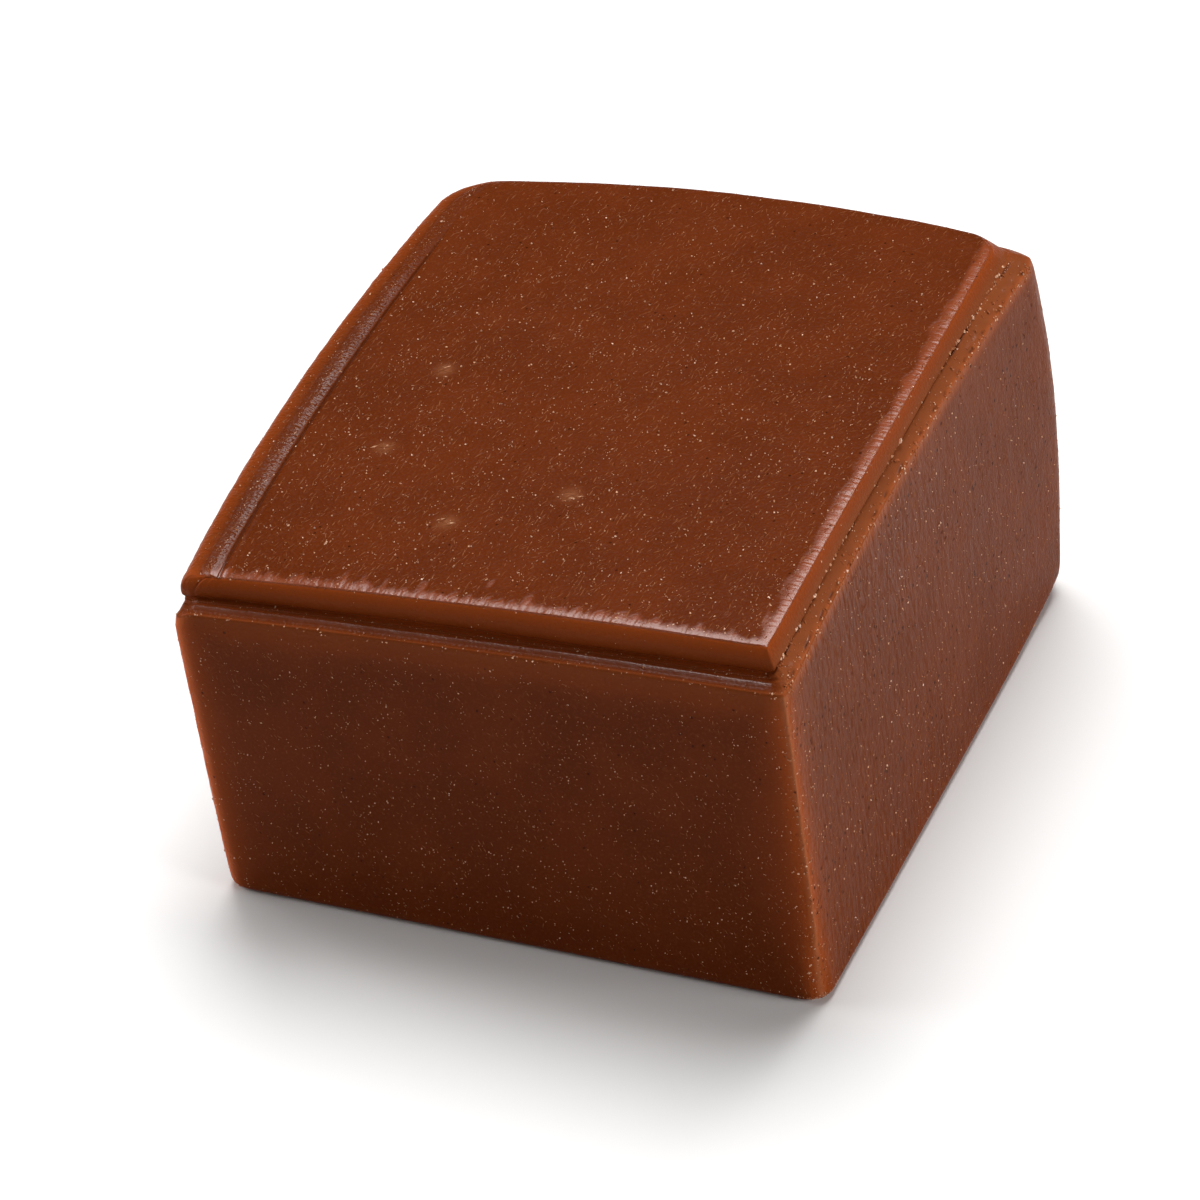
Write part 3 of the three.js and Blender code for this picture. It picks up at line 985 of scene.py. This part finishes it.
skin_tree = BVHTree.FromObject(block, bpy.context.evaluated_depsgraph_get())
areas = read_faces("area", 1)[:, 0]
centres = read_faces("center", 3) / MM
facing = read_faces("normal", 3)
faces_up = facing[:, 2] > TOP_FACING
faces_front = facing[:, 1] < -WALL_FACING
faces_right = facing[:, 0] > WALL_FACING
corner_points = np.empty(len(block_mesh.loops), np.int32)
block_mesh.loops.foreach_get("vertex_index", corner_points)
face_level = cut_level[corner_points[read_faces("loop_start", 1, np.int32)[:, 0]]]
on_skin = (face_level < 0) | (facing[:, 2] > LEVEL_FACING)
print("faces of the skin:", int(on_skin.sum()), "and of the cut:", int((~on_skin).sum()))

# %% [markdown]
# To strew grains evenly, each face of the block gets a chance that grows with its area. The cut, the right
# wall and the back hold fewer, and those at the front are finer. A chosen place is scattered about its face
# and then settled on the skin, so no grain floats.

# %% Sugar all over the skin
GRAIN_COUNT = 11000
GRAIN_SIZES = (0.03, 0.072)
GRAIN_SCATTER = 0.25
FRONT_GRAIN_SCALE = 0.7
CUT_CHANCE = 0.2
RIGHT_CHANCE = 0.5
FRONT_CHANCE = 0.9
BACK_LOSS = 0.75
BACK_FADE = (0, 14)
GRAIN_FLOOR = 0.2

chances = np.where(centres[:, 2] > GRAIN_FLOOR, areas, 0)
chances = chances * np.where(on_skin, 1, CUT_CHANCE)
chances = chances * np.where(faces_right, RIGHT_CHANCE, 1)
chances = chances * np.where(faces_front, FRONT_CHANCE, 1)
chances = chances * (1 - BACK_LOSS * ease(centres[:, 1], *BACK_FADE))
chosen = random.choice(len(areas), GRAIN_COUNT, p=chances / chances.sum())
scatter = random.uniform(-GRAIN_SCATTER, GRAIN_SCATTER, (GRAIN_COUNT, 3))
scatter = scatter - facing[chosen] * np.sum(scatter * facing[chosen], axis=1)[:, None]
grain_places = settle(centres[chosen] + scatter)
grain_scale = np.where(faces_front[chosen], FRONT_GRAIN_SCALE, 1)[:, None, None]
grains = blend(grain_places[:, None], grow(grain_places, GRAIN_SIZES, crystal), grain_scale)
print("grains on the front wall:", int(faces_front[chosen].sum()))

# %% [markdown]
# Torn skin leaves short raised lines. Such a ridge is an octahedron as well, drawn out long and flat along
# a heading on the skin, with some scatter. In the blisters the skin tore open, so a few bright ridges of
# sugar lie there, on the faces of the top that are nearest to random spots.

# %% Bright lines in the blisters
HEADING_SCATTER = 0.35
RIDGE_FLATNESS = 0.6
BLISTER_LINES = 12
BLISTER_SCATTER = 0.16
BLISTER_HEADING = (0.9, 0.5, 0)
SUGAR_LINE = {"heading": BLISTER_HEADING, "lengths": (0.1, 0.26), "widths": (0.03, 0.05)}
SUGAR_LINE_STEP = 4


def lay(faces, heading, lengths, widths):
    """The corner points of one long flat ridge on each of these faces, along a heading on the skin."""
    count = len(faces)
    ups = facing[faces]
    corners = np.array([vertex.co for vertex in crystal.verts])
    along = heading + random.normal(0, HEADING_SCATTER, (count, 3))
    along = along - ups * np.sum(along * ups, axis=1)[:, None]
    along = along / np.linalg.norm(along, axis=1)[:, None]
    axes = np.stack((along, np.cross(ups, along), ups), axis=2)
    width = random.uniform(*widths, count)
    squash = np.column_stack((random.uniform(*lengths, count), width, RIDGE_FLATNESS * width))
    return np.einsum("nij,nkj->nki", axes, corners * squash[:, None]) + centres[faces][:, None]


def face_under(spot):
    """The face of the top that is nearest to a spot, seen from above."""
    away = np.hypot(*(centres[:, :2] - spot).T)
    return np.where(faces_up, away, np.inf).argmin()


blister_spots = np.repeat([(spot_x, spot_y) for spot_x, spot_y, spread in BLISTERS], BLISTER_LINES, axis=0)
blister_spots = blister_spots + random.normal(0, BLISTER_SCATTER, blister_spots.shape)
blister_faces = np.array([face_under(spot) for spot in blister_spots])
sugar_lines = lay(blister_faces[::SUGAR_LINE_STEP], **SUGAR_LINE)
print("bright lines:", len(sugar_lines))

# %% [markdown]
# Torn places hold more grains. They are strewn near random vertices of a zone, such as the right side's rim,
# and settled on the skin. All crops of one kind are then joined to one mesh that rides with the block.

# %% Strewing and joining
STREW_SCATTER = 0.06
SIDE_WEIGHT = 0.9


def strew(where, count, sizes, shape=crystal):
    """Grains near random vertices of a zone of the block."""
    picked = random.choice(np.flatnonzero(where), count)
    scatter = random.uniform(-STREW_SCATTER, STREW_SCATTER, (count, 3))
    return grow(settle(points[picked] + scatter), sizes, shape)


def on_cut(side, name, reach):
    """Whether a vertex is on this side and near a named point of the cut."""
    return (weights[side] > SIDE_WEIGHT) & (np.abs(cut_level - cut_place(name)) < reach)


def plant(name, crops, shape, material):
    """Joins crops of grains of one shape to one object that rides with the block."""
    grain_points = np.concatenate(crops)
    shape_faces = np.array([[vertex.index for vertex in face.verts] for face in shape.faces])
    first_points = len(shape.verts) * np.arange(len(grain_points))
    grain_faces = shape_faces[None] + first_points[:, None, None]
    mesh = bpy.data.meshes.new(name)
    mesh.from_pydata((grain_points * MM).reshape(-1, 3), [], grain_faces.reshape(-1, 3))
    mesh.materials.append(material)
    planted = bpy.data.objects.new(name, mesh)
    bpy.context.scene.collection.objects.link(planted)
    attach(planted, "root")
    print(name + ":", len(grain_points), "grains,", len(mesh.polygons), "faces")
    return mesh


print("vertices of the right rim:", int(on_cut("right", "rim", 0.5).sum()))

# %% [markdown]
# Where the knife tore, it broke larger crystals free: along the right ledge, on the rims, down the front
# right edge and at its foot. Fine sparks lie in the front groove and on the low ridge of the left strip.

# %% Sugar where the knife tore
SPARK_SIZES = (0.015, 0.032)
BROKEN_SIZES = (0.03, 0.075)
RIM_SIZES = (0.045, 0.115)
LARGE_SIZES = (0.06, 0.17)
EDGE_REACH = 0.5
FOOT_REACH = 1.5
FOOT_FLOOR = 0.3

front_right = on_right & ~on_back
front_right_edge = front_right & (to_corner < EDGE_REACH) & (level > 1) & (level < RIM_LEVEL)
front_right_foot = front_right & (to_corner < FOOT_REACH) & (level < FOOT_LEVELS) & (z > FOOT_FLOOR)
on_strip_ridge = on_top & (np.abs(from_left - STRIP_RIDGE["inset"]) < STRIP_RIDGE["width"])
# Where the sugar lies, how many grains there are and how large they are.
sugar_crops = [
    (on_cut("right", "floor", 0.6), 110, BROKEN_SIZES),
    (on_cut("right", "lip", 0.5), 70, LARGE_SIZES),
    (on_cut("right", "bead", 1.5), 80, BROKEN_SIZES),
    (on_cut("right", "rim", 0.6), 110, RIM_SIZES),
    (on_cut("front", "rim", 0.4), 60, BROKEN_SIZES),
    (on_cut("front", "ridge", 0.4), 160, SPARK_SIZES),
    (on_strip_ridge, 500, SPARK_SIZES),
    (front_right_edge, 150, BROKEN_SIZES),
    (front_right_foot, 50, BROKEN_SIZES),
]
broken_sugar = [strew(*crop) for crop in sugar_crops]
plant("sugar_grains", [grains, sugar_lines, *broken_sugar], crystal, sugar)

# %% [markdown]
# The skin is full of short fine ridges. They could be bump, but real ones catch light and cast shadows from
# every side. They run to the back on the top, aslant on the front and upright on the right wall. They have
# the skin's own finish, and some are paler than others.

# %% Ridges in the skin
RIDGE_FLOOR = 0.4
RIDGE_PALE = (0.1, 0.9)
RIDGE_SHEEN = 0.15
SKIN_LINE = {"heading": BLISTER_HEADING, "lengths": (0.12, 0.3), "widths": (0.02, 0.04)}


def draw(where, count, heading, lengths, widths):
    """Ridges on random faces of a zone of the skin."""
    share = np.where(where & above_floor, areas, 0)
    picked = random.choice(len(areas), count, p=share / share.sum())
    return lay(picked, heading, lengths, widths)


above_floor = on_skin & (centres[:, 2] > RIDGE_FLOOR)
# Where the ridges lie, how many there are, and their heading, lengths and widths.
ridge_crops = [
    (faces_up, 6000, (0.3, 0.95, 0), (0.06, 0.24), (0.012, 0.024)),
    (faces_front, 1000, (0.6, 0, -0.8), (0.05, 0.15), (0.012, 0.022)),
    (faces_right, 2600, (0, 0.1, 1), (0.06, 0.22), (0.014, 0.03)),
]
skin_ridges = [draw(*crop) for crop in ridge_crops]
skin_ridges.append(lay(blister_faces, **SKIN_LINE))
ridges = plant("skin_ridges", skin_ridges, crystal, finish)
ridge_corners = len(crystal.verts)
ridge_count = len(ridges.vertices) // ridge_corners
store("pale", np.repeat(random.uniform(*RIDGE_PALE, ridge_count), ridge_corners), ridges)
store("shine", np.full(len(ridges.vertices), RIDGE_SHEEN), ridges)
crystal.free()

# %% [markdown]
# Between the broken sugar lie torn bits of the fudge itself. They are rounder than crystals, so each is an
# icosphere of twenty faces, smooth shaded. Light shines through such small bits, so a pale warm glow is
# painted on them all over, and it also lifts their shaded sides.

# %% Crumbs of fudge
CRUMB_SIZES = (0.04, 0.12)
FINE_CRUMB_SIZES = (0.03, 0.075)
CRUMB_GLOW = 0.6
CRUMB_GLOW_PALE = 0.6

crumb = bmesh.new()
bmesh.ops.create_icosphere(crumb, subdivisions=1, radius=1)
crumb_crops = [
    (on_cut("right", "bead", 2.5), 120, CRUMB_SIZES),
    (on_cut("right", "rim", 0.6), 120, CRUMB_SIZES),
    (on_cut("right", "floor", 0.8), 120, FINE_CRUMB_SIZES),
    (front_right_edge, 60, FINE_CRUMB_SIZES),
]
crumbs = plant("fudge_crumbs", [strew(*crop, crumb) for crop in crumb_crops], crumb, finish)
crumbs.shade_smooth()
# Painted glow: the crumbs are warm and pale all over, also on their shaded sides.
store("glow", np.full(len(crumbs.vertices), CRUMB_GLOW), crumbs)
store("pale", np.full(len(crumbs.vertices), CRUMB_GLOW_PALE), crumbs)
crumb.free()

# %% [markdown]
# The piece lies on plain white paper. One face does for it, so wide that its border never shows. The paper
# is matte and throws a little light back on the walls.

# %% Paper floor
FLOOR_REACH = 3
PAPER_WHITE = (0.885, 0.885, 0.88, 1)
PAPER_ROUGHNESS = 0.9

floor_shape = bmesh.new()
bmesh.ops.create_grid(floor_shape, x_segments=1, y_segments=1, size=FLOOR_REACH)
floor_mesh = bpy.data.meshes.new("floor")
floor_shape.to_mesh(floor_mesh)
floor_shape.free()
floor = bpy.data.objects.new("floor", floor_mesh)
bpy.context.scene.collection.objects.link(floor)
paper = bpy.data.materials.new("paper")
paper.use_nodes = True
paper_inputs = paper.node_tree.nodes["Principled BSDF"].inputs
paper_inputs["Base Color"].default_value = PAPER_WHITE
paper_inputs["Roughness"].default_value = PAPER_ROUGHNESS
floor_mesh.materials.append(paper)
print("floor:", 2 * FLOOR_REACH, "m wide")

# %% [markdown]
# Soft studio light comes from three square lamps. One high up behind lights the top and draws bright lines
# along its bevels, one on the right gives the right wall its sheen, and a large one on the left fills the
# shadows. A faint warm world stands for the room. The Standard view shows colours without a film curve.

# %% Light
ROOM_COLOUR = (1, 0.9, 0.8, 1)
ROOM_STRENGTH = 0.05
SOFTBOX_DISTANCE = 0.6
SOFTBOXES = {
    "overhead": {"azimuth": -15, "rise": 64, "size": 0.4, "power": 4.7},
    "right": {"azimuth": 95, "rise": 15, "size": 0.3, "power": 2.3},
    "left": {"azimuth": -90, "rise": 22, "size": 0.5, "power": 2.2},
}


def hang_softbox(name, azimuth, rise, size, power):
    """A square lamp that faces the piece. Azimuth 0 is behind it, and 90 is on its right."""
    lamp = bpy.data.objects.new(name, bpy.data.lights.new(name, "AREA"))
    lamp.data.size = size
    lamp.data.energy = power
    around = Matrix.Rotation(math.radians(-azimuth), 4, "Z")
    down = Matrix.Rotation(math.radians(rise - 90), 4, "X")
    lamp.matrix_world = around @ down @ Matrix.Translation((0, 0, SOFTBOX_DISTANCE))
    bpy.context.scene.collection.objects.link(lamp)


world = bpy.data.worlds.new("studio")
world.use_nodes = True
room_inputs = world.node_tree.nodes["Background"].inputs
room_inputs["Color"].default_value = ROOM_COLOUR
room_inputs["Strength"].default_value = ROOM_STRENGTH
bpy.context.scene.world = world
bpy.context.scene.view_settings.view_transform = "Standard"
for name, setting in SOFTBOXES.items():
    hang_softbox(name, **setting)
print("softboxes:", ", ".join(SOFTBOXES))
